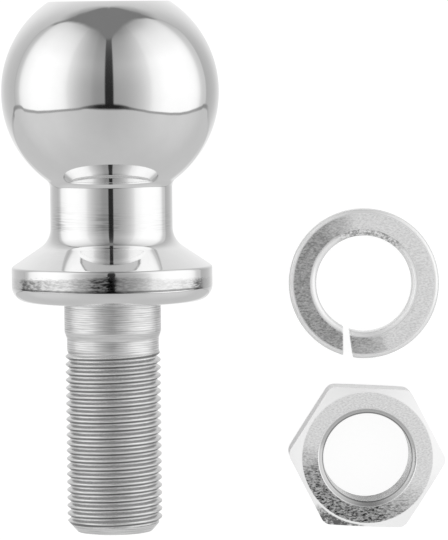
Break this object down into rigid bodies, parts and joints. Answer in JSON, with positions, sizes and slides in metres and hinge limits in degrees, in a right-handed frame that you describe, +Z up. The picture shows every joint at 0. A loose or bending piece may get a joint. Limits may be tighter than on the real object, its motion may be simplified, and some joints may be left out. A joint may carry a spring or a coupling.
{
  "type": "tow ball",
  "caption": "Tow ball with neck, flange and threaded shank in one turned stud, laid out with its split lock washer and hex nut.",
  "frame": {"origin": "on the surface that the set lies on, under the middle of its outline", "axes": "+Z up from the surface; the stud lies along Y with its ball towards +Y and its shank towards -Y; the washer and the nut lie flat at +X"},
  "size_m": [0.1017, 0.1228, 0.05],
  "materials": {
    "chromed_steel": "mirror chrome on ball, neck and flange; satin turned steel on the shank",
    "zinc_washer": "bright zinc plate over a grained surface",
    "zinc_nut": "bright zinc plate over a grained surface"
  },
  "bodies": {
    "root": {"ball_stud": "chromed_steel", "lock_washer": "zinc_washer", "hex_nut": "zinc_nut"}
  },
  "joints": []
}
